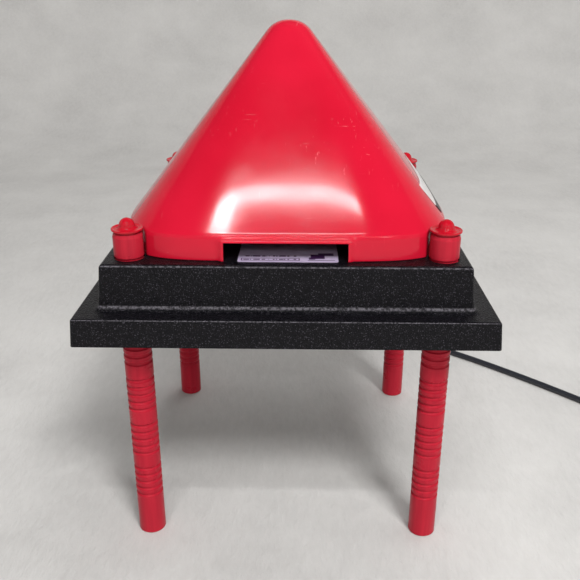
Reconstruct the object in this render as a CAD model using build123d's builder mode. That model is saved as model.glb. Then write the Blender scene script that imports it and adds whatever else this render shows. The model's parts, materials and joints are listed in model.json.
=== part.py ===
"""Brooder heating plate with a pyramid anti-roost cover.

A square black housing carries a heated underside.  It stands on four notched legs that slide up
and down through its corners, and a red pyramid cover drops over its top to keep birds off it.
The frame is +Z up, +X to the right and -Y to the front, with the origin on the floor under the
middle of the housing.  All sizes are millimetres.
"""
import os
from math import atan, cos, degrees, pi, radians, sin, tan

from build123d import *

os.makedirs("parts", exist_ok=True)

# --- driving dimensions ---------------------------------------------------------------------
PLATE_SIDE = 300.0        # lower edge of the housing flange
UNDERSIDE_Z = 185.0       # lower edge of the flange above the floor, in the resting position
FLANGE_HEIGHT = 20.5
FLANGE_DRAFT = 5.0        # degrees
BOX_SIDE = 266.0          # raised middle of the housing, at its foot
BOX_HEIGHT = 33.3
BOX_DRAFT = 5.6           # degrees
HOUSING_WALL = 2.6
LEG_AXIS = 112.0          # each leg stands this far from both centre planes
LEG_RADIUS = 10.7
NOTCH_PITCH = 6.3
NOTCHES_PER_GROUP = 5
NOTCH_GROUPS = 5
GROUP_PITCH = 39.6
FIRST_NOTCH_Z = 38.0
RESTING_NOTCH = 1         # notch of the top group that the spring ring sits in, counted from 0
COVER_HALF = 120.5        # cover's half width at its crease
COVER_CORNER = 48.0       # corner radius there
COVER_APEX_Z = 408.0      # where the flat faces of the pyramid would meet
COVER_TOP_Z = 393.8
CREASE_Z = 256.0
COVER_WALL = 2.0
FLUTE_RADIUS = 13.0       # hollow that each lower corner of the cover leaves for a leg
CORD_DIAMETER = 6.5

# --- worked out from those ------------------------------------------------------------------
SHOULDER_Z = UNDERSIDE_Z + FLANGE_HEIGHT
BOX_TOP_Z = SHOULDER_Z + BOX_HEIGHT
CORD_RADIUS = CORD_DIAMETER / 2
RING_Z = FIRST_NOTCH_Z + (NOTCH_GROUPS - 1) * GROUP_PITCH + RESTING_NOTCH * NOTCH_PITCH
LEG_PLACES = {
    "front_left": (-LEG_AXIS, -LEG_AXIS),
    "front_right": (LEG_AXIS, -LEG_AXIS),
    "rear_left": (-LEG_AXIS, LEG_AXIS),
    "rear_right": (LEG_AXIS, LEG_AXIS),
}
CORNERS = list(LEG_PLACES.values())


def save(piece, name):
    """Label a finished sub-part and write it as its own STEP file."""
    piece.part.label = name
    export_step(piece.part, f"parts/{name}.step")


# --- housing --------------------------------------------------------------------------------
CAVITY_SIDE = 292.6       # inside of the flange wall
LEG_HOLE_RADIUS = 11.0    # in the top of the housing
BOX_CORNER = 4.0          # upright corners of the raised middle
JUNCTION_FILLET = 5.5     # hollow where the raised middle meets the flange
BOX_TOP_FILLET = 2.5
RIM_FILLET = 1.6          # top edge of the flange
BOSS_RADIUS = 3.5
BOSS_HOLE_RADIUS = 1.3
PANEL_TOP_Z = 189.5       # top of the heated panel that closes the underside
SHELL_CEILING_Z = SHOULDER_Z - HOUSING_WALL
SCREW_REACH = 139.0
SCREW_SIDE = 40.0
SCREW_PLACES = [(sx * a, sy * b) for a, b in ((SCREW_SIDE, SCREW_REACH), (SCREW_REACH, SCREW_SIDE))
                for sx in (-1, 1) for sy in (-1, 1)]
EXIT_X = 60.0             # where the cord leaves the rear wall of the flange
EXIT_Z = 196.2
EXIT_HOLE_RADIUS = 5.2

with BuildPart() as housing:
    with BuildSketch(Plane.XY.offset(UNDERSIDE_Z)):
        RectangleRounded(PLATE_SIDE, PLATE_SIDE, 2.5)
    extrude(amount=FLANGE_HEIGHT, taper=FLANGE_DRAFT)
    with BuildSketch(Plane.XY.offset(SHOULDER_Z)):
        RectangleRounded(BOX_SIDE, BOX_SIDE, BOX_CORNER)
    extrude(amount=BOX_HEIGHT, taper=BOX_DRAFT)
    shoulder = housing.edges().filter_by_position(Axis.Z, SHOULDER_Z - 0.1, SHOULDER_Z + 0.1)
    foot = [e for e in shoulder if max(abs(e.center().X), abs(e.center().Y)) < BOX_SIDE / 2 + 1]
    fillet(foot, JUNCTION_FILLET)
    fillet(housing.edges().filter_by_position(Axis.Z, BOX_TOP_Z - 0.1, BOX_TOP_Z + 0.1), BOX_TOP_FILLET)
    rim = housing.edges().filter_by_position(Axis.Z, SHOULDER_Z - 0.1, SHOULDER_Z + 0.1)
    outer = [e for e in rim if max(abs(e.center().X), abs(e.center().Y)) > BOX_SIDE / 2 + JUNCTION_FILLET + 3]
    fillet(outer, RIM_FILLET)
    with BuildSketch(Plane.XY.offset(UNDERSIDE_Z)):
        RectangleRounded(CAVITY_SIDE, CAVITY_SIDE, 2.0)
    extrude(amount=SHELL_CEILING_Z - UNDERSIDE_Z, mode=Mode.SUBTRACT)
    with BuildSketch(Plane.XY.offset(SHELL_CEILING_Z - 1)):
        RectangleRounded(BOX_SIDE - 2 * HOUSING_WALL, BOX_SIDE - 2 * HOUSING_WALL, 3.0)
    extrude(amount=BOX_TOP_Z - HOUSING_WALL - SHELL_CEILING_Z + 1, taper=BOX_DRAFT, mode=Mode.SUBTRACT)
    with BuildSketch(Plane.XY.offset(PANEL_TOP_Z)):
        with Locations(SCREW_PLACES):
            Circle(BOSS_RADIUS)
    extrude(amount=SHELL_CEILING_Z - PANEL_TOP_Z + 0.5)
    with BuildSketch(Plane.XY.offset(PANEL_TOP_Z - 0.5)):
        with Locations(SCREW_PLACES):
            Circle(BOSS_HOLE_RADIUS)
    extrude(amount=9.5, mode=Mode.SUBTRACT)
    with BuildSketch(Plane.XY.offset(BOX_TOP_Z - 2 * HOUSING_WALL)):
        with Locations(CORNERS):
            Circle(LEG_HOLE_RADIUS)
    extrude(amount=3 * HOUSING_WALL, mode=Mode.SUBTRACT)
    with BuildSketch(Plane.XZ.offset(-PLATE_SIDE / 2 - 5)):
        with Locations((EXIT_X, EXIT_Z)):
            Circle(EXIT_HOLE_RADIUS)
    extrude(amount=12, mode=Mode.SUBTRACT)
save(housing, "housing")

# --- heated panel and what lies on it -------------------------------------------------------
PANEL_THICKNESS = 2.5
GUIDE_RADIUS = 13.0
GUIDE_BORE_RADIUS = 10.8
GUIDE_FLANGE_RADIUS = 16.0
FOIL_SIDE = 250.0
FOIL_THICKNESS = 0.5
PAD_SIDE = 250.0
PAD_THICKNESS = 12.0
WIRING_BAY = (92.0, 46.0)          # bare rectangle at the rear, left for the wiring
WIRING_BAY_CENTRE = (45.0, 105.0)
GAP = 0.05
FOIL_Z = PANEL_TOP_Z + GAP
PAD_Z = FOIL_Z + FOIL_THICKNESS + GAP

with BuildPart() as heat_panel:
    with BuildSketch(Plane.XY.offset(PANEL_TOP_Z - PANEL_THICKNESS)):
        RectangleRounded(CAVITY_SIDE - 0.6, CAVITY_SIDE - 0.6, 2.0)
        with Locations(CORNERS):
            Circle(GUIDE_RADIUS + 0.2, mode=Mode.SUBTRACT)
        with Locations(SCREW_PLACES):
            Circle(1.7, mode=Mode.SUBTRACT)
    extrude(amount=PANEL_THICKNESS)
save(heat_panel, "heat_panel")

with BuildPart() as heating_foil:
    with BuildSketch(Plane.XY.offset(FOIL_Z)):
        Rectangle(FOIL_SIDE, FOIL_SIDE)
        with Locations(CORNERS):
            Circle(GUIDE_FLANGE_RADIUS + 3, mode=Mode.SUBTRACT)
    extrude(amount=FOIL_THICKNESS)
save(heating_foil, "heating_foil")

with BuildPart() as insulation_pad:
    with BuildSketch(Plane.XY.offset(PAD_Z)):
        Rectangle(PAD_SIDE, PAD_SIDE)
        with Locations(CORNERS):
            Circle(GUIDE_FLANGE_RADIUS + 3, mode=Mode.SUBTRACT)
        with Locations(WIRING_BAY_CENTRE):
            Rectangle(*WIRING_BAY, mode=Mode.SUBTRACT)
    extrude(amount=PAD_THICKNESS)
save(insulation_pad, "insulation_pad")

# --- wiring inside the housing --------------------------------------------------------------
DECK_Z = FOIL_Z + FOIL_THICKNESS + GAP       # wiring parts stand on the foil here
GRIP_Y = 137.0
GRIP_TOP_Z = EXIT_Z + 4.6
BLOCK_Y = 112.0
CUTOUT_CENTRE = (20.0, 108.0)
SHEATH_END_Y = 127.0
WIRE_RADIUS = 1.0
WIRE_Z = DECK_Z + 4.0

with BuildPart() as cord_grip:
    with BuildSketch(Plane.XZ.offset(-GRIP_Y - 4)):
        with Locations((EXIT_X, (DECK_Z + GRIP_TOP_Z) / 2)):
            RectangleRounded(24, GRIP_TOP_Z - DECK_Z, 1.0)
        with Locations((EXIT_X, EXIT_Z)):
            Circle(CORD_RADIUS + GAP, mode=Mode.SUBTRACT)
        with Locations((EXIT_X, EXIT_Z)):
            Rectangle(24, 0.6, mode=Mode.SUBTRACT)
    extrude(amount=8)
    with BuildSketch(Plane.XY.offset(GRIP_TOP_Z + 1)):
        with Locations((EXIT_X - 8, GRIP_Y), (EXIT_X + 8, GRIP_Y)):
            Circle(1.6)
    extrude(amount=-9, mode=Mode.SUBTRACT)
save(cord_grip, "cord_grip")

with BuildPart() as grip_screws:
    with BuildSketch(Plane.XY.offset(GRIP_TOP_Z + GAP)):
        with Locations((EXIT_X - 8, GRIP_Y), (EXIT_X + 8, GRIP_Y)):
            Circle(2.6)
    extrude(amount=0.9)
    with BuildSketch(Plane.XY.offset(GRIP_TOP_Z + GAP)):
        with Locations((EXIT_X - 8, GRIP_Y), (EXIT_X + 8, GRIP_Y)):
            Circle(1.4)
    extrude(amount=-7)
save(grip_screws, "grip_screws")

with BuildPart() as terminal_block:
    with BuildSketch(Plane.XY.offset(DECK_Z)):
        with Locations((EXIT_X, BLOCK_Y)):
            RectangleRounded(20, 14, 1.0)
    extrude(amount=11)
    with BuildSketch(Plane.XY.offset(DECK_Z + 11)):
        with Locations((EXIT_X - 5, BLOCK_Y), (EXIT_X + 5, BLOCK_Y)):
            Circle(2.2)
    extrude(amount=-5, mode=Mode.SUBTRACT)
    with BuildSketch(Plane.XZ.offset(-BLOCK_Y - 8)):
        with Locations((EXIT_X - 5, WIRE_Z), (EXIT_X + 5, WIRE_Z)):
            Circle(1.6)
    extrude(amount=16, mode=Mode.SUBTRACT)
save(terminal_block, "terminal_block")

with BuildPart() as terminal_screws:
    with BuildSketch(Plane.XY.offset(DECK_Z + 9.5)):
        with Locations((EXIT_X - 5, BLOCK_Y), (EXIT_X + 5, BLOCK_Y)):
            Circle(2.0)
    extrude(amount=-3)
save(terminal_screws, "terminal_screws")

with BuildPart() as thermal_cutout:
    with BuildSketch(Plane.XY.offset(DECK_Z)):
        with Locations(CUTOUT_CENTRE):
            RectangleRounded(18, 9, 1.0)
    extrude(amount=3)
    with BuildSketch(Plane.XY.offset(DECK_Z + 3)):
        with Locations(CUTOUT_CENTRE):
            Circle(4.2)
    extrude(amount=5)
    fillet(thermal_cutout.faces().sort_by(Axis.Z)[-1].edges(), 0.8)
save(thermal_cutout, "thermal_cutout")


def wire(points, bend, radius=WIRE_RADIUS):
    """An insulated wire through the given points, with the given bend radius."""
    with BuildPart() as made:
        with BuildLine() as path:
            FilletPolyline(*points, radius=bend)
        with BuildSketch(Plane(origin=points[0], z_dir=path.wire() % 0)):
            Circle(radius)
        sweep(path=path.wire())
    return made.part


CUTOUT_TAB_Y = CUTOUT_CENTRE[1] - 4.5 - GAP
BLOCK_FRONT_Y = BLOCK_Y - 7 - GAP
BLOCK_REAR_Y = BLOCK_Y + 7 + GAP
WIRE_POINTS = [
    [(EXIT_X - 5, BLOCK_FRONT_Y, WIRE_Z), (EXIT_X - 5, 96, WIRE_Z),
     (CUTOUT_CENTRE[0] + 6, 96, WIRE_Z), (CUTOUT_CENTRE[0] + 6, CUTOUT_TAB_Y, WIRE_Z)],
    [(CUTOUT_CENTRE[0] - 6, CUTOUT_TAB_Y, WIRE_Z), (CUTOUT_CENTRE[0] - 6, 92, WIRE_Z),
     (8, 92, WIRE_Z), (8, 86, DECK_Z + WIRE_RADIUS + GAP)],
    [(EXIT_X + 5, BLOCK_FRONT_Y, WIRE_Z), (EXIT_X + 5, 92, WIRE_Z),
     (80, 92, WIRE_Z), (80, 86, DECK_Z + WIRE_RADIUS + GAP)],
    [(EXIT_X - 1.4, SHEATH_END_Y - GAP, EXIT_Z), (EXIT_X - 3, 124, EXIT_Z),
     (EXIT_X - 5, 121.6, WIRE_Z), (EXIT_X - 5, BLOCK_REAR_Y, WIRE_Z)],
    [(EXIT_X + 1.4, SHEATH_END_Y - GAP, EXIT_Z), (EXIT_X + 3, 124, EXIT_Z),
     (EXIT_X + 5, 121.6, WIRE_Z), (EXIT_X + 5, BLOCK_REAR_Y, WIRE_Z)],
]
WIRE_BENDS = [3.0, 1.2, 1.2, 0.6, 0.6]
RELIEF_INNER_Y = 143.3     # inner face of the strain relief's flange

with BuildPart() as inner_leads:
    for points, bend in zip(WIRE_POINTS, WIRE_BENDS):
        add(wire(points, bend))
    with BuildSketch(Plane.XZ.offset(-RELIEF_INNER_Y + GAP)):
        with Locations((EXIT_X, EXIT_Z)):
            Circle(CORD_RADIUS)
    extrude(amount=RELIEF_INNER_Y - SHEATH_END_Y)
save(inner_leads, "inner_leads")

# --- screws that hold the panel -------------------------------------------------------------
with BuildPart() as panel_screws:
    with BuildSketch(Plane.XY.offset(PANEL_TOP_Z - PANEL_THICKNESS - GAP)):
        with Locations(SCREW_PLACES):
            Circle(2.9)
    extrude(amount=-1.6)
    fillet(panel_screws.faces().sort_by(Axis.Z)[:8].edges(), 0.7)
    with BuildSketch(Plane.XY.offset(PANEL_TOP_Z - PANEL_THICKNESS - GAP)):
        with Locations(SCREW_PLACES):
            Circle(1.25)
    extrude(amount=10)
save(panel_screws, "panel_screws")

# --- leg guides and their spring rings ------------------------------------------------------
GUIDE_BOTTOM_Z = UNDERSIDE_Z + 0.8
GUIDE_TOP_Z = BOX_TOP_Z - HOUSING_WALL - 0.1
SEAT_RADIUS = 12.3        # inside of the groove that holds the ring
SEAT_HEIGHT = 3.0
RING_WIRE_RADIUS = 0.65
RING_RADIUS = 11.5
RING_OPENING = 50.0       # degrees that the ring leaves open


def guide_at(x, y):
    """The tube that one leg slides in, with its flange and its groove for the ring."""
    with BuildPart() as made:
        with BuildSketch(Plane.XY.offset(GUIDE_BOTTOM_Z)):
            with Locations((x, y)):
                Circle(GUIDE_RADIUS)
        extrude(amount=GUIDE_TOP_Z - GUIDE_BOTTOM_Z)
        with BuildSketch(Plane.XY.offset(PANEL_TOP_Z + GAP)):
            with Locations((x, y)):
                Circle(GUIDE_FLANGE_RADIUS)
        extrude(amount=1.5)
        with BuildSketch(Plane.XY.offset(GUIDE_BOTTOM_Z)):
            with Locations((x, y)):
                Circle(GUIDE_BORE_RADIUS)
        extrude(amount=GUIDE_TOP_Z - GUIDE_BOTTOM_Z, mode=Mode.SUBTRACT)
        with BuildSketch(Plane.XY.offset(RING_Z - SEAT_HEIGHT / 2)):
            with Locations((x, y)):
                Circle(SEAT_RADIUS)
        extrude(amount=SEAT_HEIGHT, mode=Mode.SUBTRACT)
    return made


def ring_at(x, y):
    """The open wire ring that clicks into a notch, drawn just clear of the leg."""
    outward = degrees(atan(y / x)) + (180 if x < 0 else 0)
    with BuildPart() as made:
        with BuildLine(Plane.XY.offset(RING_Z)) as path:
            CenterArc((x, y), RING_RADIUS, outward + RING_OPENING / 2, 360 - RING_OPENING)
        with BuildSketch(Plane(origin=path.wire() @ 0, z_dir=path.wire() % 0)):
            Circle(RING_WIRE_RADIUS)
        sweep(path=path.wire())
    return made


for place, (leg_x, leg_y) in LEG_PLACES.items():
    save(guide_at(leg_x, leg_y), f"leg_guide_{place}")
    save(ring_at(leg_x, leg_y), f"spring_ring_{place}")

# --- legs and their caps --------------------------------------------------------------------
LEG_WALL = 2.5
FOOT_THICKNESS = 3.0
LEG_TOP_Z = 257.3
LEG_RIM_Z = 254.6         # where the top of the leg starts to taper in
LEG_RIM_RADIUS = 9.9
NOTCH_RADIUS = 1.7
NOTCH_OFFSET = 0.3        # the middle of a notch's round stands this far outside the leg
STOP_GROOVE_Z = 238.7     # groove that lies level with the housing's top in the resting position
CAP_DISC_RADIUS = 11.3
CAP_NECK_RADIUS = 9.0
CAP_NECK_HEIGHT = 1.5
CAP_DISC_HEIGHT = 1.7
CAP_DISH_HEIGHT = 1.5
CAP_LIP_DEPTH = 0.4       # the disc is hollow by this much inside its rim
KNOB_RADIUS = 5.6
SPIGOT_DEPTH = 12.0
SPIGOT_RADIUS = LEG_RADIUS - LEG_WALL - 0.06
NOTCH_HEIGHTS = [FIRST_NOTCH_Z + group * GROUP_PITCH + notch * NOTCH_PITCH
                 for group in range(NOTCH_GROUPS) for notch in range(NOTCHES_PER_GROUP)] + [STOP_GROOVE_Z]


def leg_at(x, y):
    """A hollow leg with a closed foot, its notches and the tapered rim under the cap."""
    with BuildPart() as made:
        with BuildSketch(Plane.XZ.offset(-y)):
            with BuildLine():
                Polyline(
                    (x, 0), (x + LEG_RADIUS - 0.8, 0), (x + LEG_RADIUS, 0.8),
                    (x + LEG_RADIUS, LEG_RIM_Z), (x + LEG_RIM_RADIUS, LEG_TOP_Z),
                    (x + LEG_RADIUS - LEG_WALL, LEG_TOP_Z), (x + LEG_RADIUS - LEG_WALL, FOOT_THICKNESS),
                    (x, FOOT_THICKNESS), (x, 0),
                )
            make_face()
            with Locations([(x + LEG_RADIUS + NOTCH_OFFSET, z) for z in NOTCH_HEIGHTS]):
                Circle(NOTCH_RADIUS, mode=Mode.SUBTRACT)
        revolve(axis=Axis((x, y, 0), (0, 0, 1)))
    return made


def cap_at(x, y):
    """The cap: a spigot in the leg, a narrow neck, a dished disc and a round knob."""
    neck_z = LEG_TOP_Z + 0.02
    disc_z = neck_z + CAP_NECK_HEIGHT
    dish_z = disc_z + CAP_DISC_HEIGHT
    knob_z = dish_z + CAP_DISH_HEIGHT
    with BuildPart() as made:
        with BuildSketch(Plane.XZ.offset(-y)):
            with BuildLine():
                Polyline(
                    (x, knob_z + KNOB_RADIUS), (x, LEG_TOP_Z - SPIGOT_DEPTH),
                    (x + SPIGOT_RADIUS - 0.6, LEG_TOP_Z - SPIGOT_DEPTH),
                    (x + SPIGOT_RADIUS, LEG_TOP_Z - SPIGOT_DEPTH + 0.6),
                    (x + SPIGOT_RADIUS, neck_z), (x + CAP_NECK_RADIUS, neck_z),
                    (x + CAP_NECK_RADIUS, disc_z), (x + CAP_DISC_RADIUS - 0.5, disc_z),
                    (x + CAP_DISC_RADIUS, disc_z + 0.5), (x + CAP_DISC_RADIUS, dish_z - 0.3),
                    (x + CAP_DISC_RADIUS - 0.3, dish_z), (x + CAP_DISC_RADIUS - 0.9, dish_z),
                    (x + CAP_DISC_RADIUS - 1.5, dish_z - CAP_LIP_DEPTH),
                )
                ThreePointArc((x + CAP_DISC_RADIUS - 1.5, dish_z - CAP_LIP_DEPTH),
                              (x + KNOB_RADIUS + 1.2, dish_z - 0.2), (x + KNOB_RADIUS, knob_z))
                CenterArc((x, knob_z), KNOB_RADIUS, 0, 90)
            make_face()
        revolve(axis=Axis((x, y, 0), (0, 0, 1)))
    return made


for place, (leg_x, leg_y) in LEG_PLACES.items():
    save(leg_at(leg_x, leg_y), f"leg_{place}")
    save(cap_at(leg_x, leg_y), f"leg_cap_{place}")

# --- label on the housing -------------------------------------------------------------------
with BuildPart() as front_label:
    with BuildSketch(Plane.XY.offset(BOX_TOP_Z + 0.02)):
        with Locations((1.5, -102.0)):
            RectangleRounded(71, 40, 1.5)
    extrude(amount=0.25)
save(front_label, "front_label")

# --- cover ----------------------------------------------------------------------------------
COVER_FOOT_Z = BOX_TOP_Z
SKIRT_DRAFT = 2.5                 # degrees
WINDOW_WIDTH = 86.0
WINDOW_TOP_Z = 252.6
FACE_SLOPE = COVER_HALF / (COVER_APEX_Z - CREASE_Z)      # half width lost per millimetre of height
TOP_HALF = FACE_SLOPE * (COVER_APEX_Z - COVER_TOP_Z)
APEX_FILLET = 20.5
INNER_SET_BACK = COVER_WALL / cos(atan(FACE_SLOPE))      # wall thickness measured level
INNER_CREASE_Z = CREASE_Z - 0.8
INNER_TOP_Z = COVER_TOP_Z - COVER_WALL
INNER_HALF = COVER_HALF - INNER_SET_BACK + FACE_SLOPE * (CREASE_Z - INNER_CREASE_Z)
INNER_TOP_HALF = FACE_SLOPE * (COVER_APEX_Z - INNER_TOP_Z) - INNER_SET_BACK


def pyramid(crease_half, corner, crease_z, top_half, top_z, top_fillet, crease_fillet, flute):
    """A rounded pyramid on an upright skirt, with a hollow at each corner for a leg."""
    skirt = crease_z - COVER_FOOT_Z
    foot_half = crease_half + skirt * tan(radians(SKIRT_DRAFT))
    with BuildPart() as made:
        with BuildSketch(Plane.XY.offset(COVER_FOOT_Z)):
            RectangleRounded(2 * foot_half, 2 * foot_half, corner)
        with BuildSketch(Plane.XY.offset(crease_z)):
            RectangleRounded(2 * crease_half, 2 * crease_half, corner)
        loft(ruled=True)
        with BuildSketch(Plane.XY.offset(crease_z)):
            RectangleRounded(2 * crease_half, 2 * crease_half, corner)
        with BuildSketch(Plane.XY.offset(top_z)):
            RectangleRounded(2 * top_half, 2 * top_half, top_half - 0.05)
        loft(ruled=True)
        fillet(made.edges().filter_by_position(Axis.Z, top_z - 0.1, top_z + 0.1), top_fillet)
        if crease_fillet:
            fillet(made.edges().filter_by_position(Axis.Z, crease_z - 0.1, crease_z + 0.1), crease_fillet)
        with BuildSketch(Plane.XY.offset(COVER_FOOT_Z - 5)):
            with Locations(CORNERS):
                Circle(flute)
        extrude(amount=80, mode=Mode.SUBTRACT)
    return made


cover_outside = pyramid(COVER_HALF, COVER_CORNER, CREASE_Z, TOP_HALF, COVER_TOP_Z,
                        APEX_FILLET, 2.5, FLUTE_RADIUS)
cover_inside = pyramid(INNER_HALF, COVER_CORNER - COVER_WALL, INNER_CREASE_Z, INNER_TOP_HALF,
                       INNER_TOP_Z, APEX_FILLET - COVER_WALL, 0, FLUTE_RADIUS + COVER_WALL)

with BuildPart() as cover:
    add(cover_outside.part)
    add(cover_inside.part, mode=Mode.SUBTRACT)
    with BuildSketch(Plane.XY.offset(COVER_FOOT_Z)):
        with Locations((0, -COVER_HALF)):
            Rectangle(WINDOW_WIDTH, 16)
    extrude(amount=WINDOW_TOP_Z - COVER_FOOT_Z, mode=Mode.SUBTRACT)
save(cover, "cover")

# --- sticker on the right face of the cover -------------------------------------------------
STICKER_FOOT_Z = 259.5
STICKER_SIZE = (130.0, 27.0)
slope_angle = atan(FACE_SLOPE)
sticker_x = FACE_SLOPE * (COVER_APEX_Z - STICKER_FOOT_Z)
right_face = Plane(origin=(sticker_x, 0, STICKER_FOOT_Z), x_dir=(0, 1, 0),
                   z_dir=(cos(slope_angle), 0, sin(slope_angle)))

with BuildPart() as side_sticker:
    with BuildSketch(right_face.offset(0.03)):
        with Locations((-4.0, STICKER_SIZE[1] / 2)):
            RectangleRounded(*STICKER_SIZE, 2.5)
    extrude(amount=0.25)
save(side_sticker, "side_sticker")

# --- strain relief and cord -----------------------------------------------------------------
# The cord leaves the rear wall level, falls to the floor, and runs forward past the right side
# into a wound coil that holds the rest of its length, with the plug lying beside the coil.
RELIEF_TIP_Y = 175.0
RELIEF_ROOT_RADIUS = 5.4
RELIEF_TIP_RADIUS = 4.0
WALL_OUTER_Y = PLATE_SIDE / 2 - (EXIT_Z - UNDERSIDE_Z) * tan(radians(FLANGE_DRAFT))
WALL_INNER_Y = CAVITY_SIDE / 2
FLOOR = CORD_RADIUS + 0.05        # height of the cord's centre where it lies on the floor

with BuildPart() as strain_relief:
    with BuildSketch(Plane.YZ.offset(EXIT_X)):
        with BuildLine():
            Polyline(
                (RELIEF_INNER_Y, EXIT_Z), (RELIEF_INNER_Y, EXIT_Z + 6.1),
                (WALL_INNER_Y - GAP, EXIT_Z + 6.1), (WALL_INNER_Y - GAP, EXIT_Z + EXIT_HOLE_RADIUS - 0.1),
                (WALL_OUTER_Y + 0.7, EXIT_Z + EXIT_HOLE_RADIUS - 0.1),
                (WALL_OUTER_Y + 0.7, EXIT_Z + 6.6), (WALL_OUTER_Y + 3.2, EXIT_Z + 6.2),
                (WALL_OUTER_Y + 3.8, EXIT_Z + RELIEF_ROOT_RADIUS),
                (RELIEF_TIP_Y, EXIT_Z + RELIEF_TIP_RADIUS), (RELIEF_TIP_Y, EXIT_Z),
                (RELIEF_INNER_Y, EXIT_Z),
            )
        make_face()
    revolve(axis=Axis((EXIT_X, 0, EXIT_Z), (0, 1, 0)))
save(strain_relief, "strain_relief")

CORD_ROUTE = [
    (60, RELIEF_TIP_Y, EXIT_Z), (60, 199, EXIT_Z), (62, 225, 182), (66, 238, 154), (71, 244, 121),
    (77, 246, 86), (84, 245, 53), (94, 243, 25), (112, 240, 7), (139, 235, FLOOR),
    (168, 221, FLOOR), (196, 201, FLOOR), (226, 176, FLOOR), (256, 148.5, FLOOR),
    (281, 124.5, FLOOR), (304, 101.2, FLOOR), (325, 79.2, FLOOR),
]
COIL_TURN = 35.2                  # mean radius of the coil's turns
COIL_STEP = 6.6                   # from one turn to the next, beside it or on it
COIL_SWEEP = 1936.3               # degrees wound, in three columns and two layers
COIL_LIFT = 0.9                   # the tie passes under the coil
COIL_ENTRY = 25.0                 # straight run from the route's end to where the coil begins
TAIL_START_Y = 26.0               # the tail is part of the coil's solid up to here, from its centre
PLUG_Z = 8.2                      # height of the plug's axis, lying on its flat side
PLUG_SHIFT = 6.0                  # the tail drifts this far towards -X on its way to the plug

arriving = Vector(*CORD_ROUTE[-1]) - Vector(*CORD_ROUTE[-2])
heading = arriving.normalized()
to_left = Vector(-heading.Y, heading.X)
coil_start = Vector(*CORD_ROUTE[-1]) + heading * COIL_ENTRY
coil_outer_turn = COIL_TURN + COIL_STEP
coil_centre = coil_start + to_left * coil_outer_turn
coil_top_z = COIL_LIFT + COIL_STEP + CORD_DIAMETER
tail_x = coil_centre.X + coil_outer_turn
tail_z = coil_top_z - CORD_RADIUS
plug_x = tail_x - PLUG_SHIFT
TAIL_ROUTE = [
    (tail_x, coil_centre.Y + TAIL_START_Y, tail_z), (tail_x - 0.2, coil_centre.Y + 39, tail_z - 0.1),
    (tail_x - 1.8, coil_centre.Y + 53, tail_z - 1.0), (tail_x - 4.6, coil_centre.Y + 67, PLUG_Z + 0.3),
    (plug_x, coil_centre.Y + 79, PLUG_Z), (plug_x, coil_centre.Y + 89, PLUG_Z),
]


def corner_radii(points):
    """The largest bend each corner has room for: 0.45 of its shorter run, over tan(half turn)."""
    radii = []
    for before, corner, after in zip(points, points[1:], points[2:]):
        run_in = Vector(*corner) - Vector(*before)
        run_out = Vector(*after) - Vector(*corner)
        half_turn = radians(run_in.get_angle(run_out)) / 2
        radii.append(0.45 * min(run_in.length, run_out.length) / tan(half_turn))
    return radii


def cord_along(points, name):
    """The cord's tube along a route of straight runs joined by tangent arcs."""
    bends = corner_radii(points)
    with BuildPart() as made:
        with BuildLine() as path:
            FilletPolyline(*points, radius=bends)
        with BuildSketch(Plane(origin=points[0], z_dir=path.wire() % 0)):
            Circle(CORD_RADIUS)
        sweep(path=path.wire())
    length = path.wire().length
    print(name, "bend radii", [round(bend, 1) for bend in bends])
    print(name, "length", round(length, 1), "volume over section times length",
          round(made.part.volume / (pi * CORD_RADIUS**2 * length), 4))
    save(made, name)
    return length


def stub(start, end):
    """A straight piece of cord from start to end."""
    run = end - start
    with BuildPart() as made:
        with BuildSketch(Plane(origin=start, z_dir=run)):
            Circle(CORD_RADIUS)
        extrude(amount=run.length)
    return made.part


cord_length = cord_along(CORD_ROUTE, "cord")
tail_length = cord_along(TAIL_ROUTE, "cord_tail")

coil_middle_z = (COIL_LIFT + coil_top_z) / 2
with BuildPart() as cord_coil:
    with BuildSketch(Plane.XZ.offset(-coil_centre.Y)):
        with Locations((coil_centre.X + COIL_TURN, coil_middle_z)):
            RectangleRounded(2 * (COIL_STEP + CORD_RADIUS), coil_top_z - COIL_LIFT, CORD_RADIUS)
    revolve(axis=Axis((coil_centre.X, coil_centre.Y, 0), (0, 0, 1)))
    add(stub(Vector(*CORD_ROUTE[-1]), coil_start + heading * 2))
    add(stub(Vector(*TAIL_ROUTE[0]), Vector(tail_x, coil_centre.Y, tail_z)))
save(cord_coil, "cord_coil")

coil_length = radians(COIL_SWEEP) * COIL_TURN + COIL_ENTRY + TAIL_START_Y
print("cord length in all", round(cord_length + coil_length + tail_length))

# --- tie, plug ------------------------------------------------------------------------------
TIE_WIDTH = 6.0
TIE_THICKNESS = 0.5
TIE_GAP = 0.3


def tie_size(grow):
    """Width, height and corner radius round the coil's cross-section, made larger by grow."""
    return 2 * (COIL_STEP + CORD_RADIUS + grow), coil_top_z - COIL_LIFT + 2 * grow, CORD_RADIUS + grow


with BuildPart() as cord_tie:
    with BuildSketch(Plane.YZ.offset(coil_centre.X - TIE_WIDTH / 2)):
        with Locations((coil_centre.Y + COIL_TURN, coil_middle_z)):
            RectangleRounded(*tie_size(TIE_GAP + TIE_THICKNESS))
            RectangleRounded(*tie_size(TIE_GAP), mode=Mode.SUBTRACT)
    extrude(amount=TIE_WIDTH)
save(cord_tie, "cord_tie")

PLUG_Y = TAIL_ROUTE[-1][1] + 0.02
NECK_LENGTH = 14.0
NECK_END_RADIUS = 6.2
PLUG_SIZE = (24.0, 32.0, 16.0)
PLUG_SHOULDER = (18.0, 13.0)      # the body is smaller where the neck meets it
PLUG_CORNER = 5.0
BLADE_SIZE = (1.5, 16.0, 6.3)
BLADE_SPACING = 12.7

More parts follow.
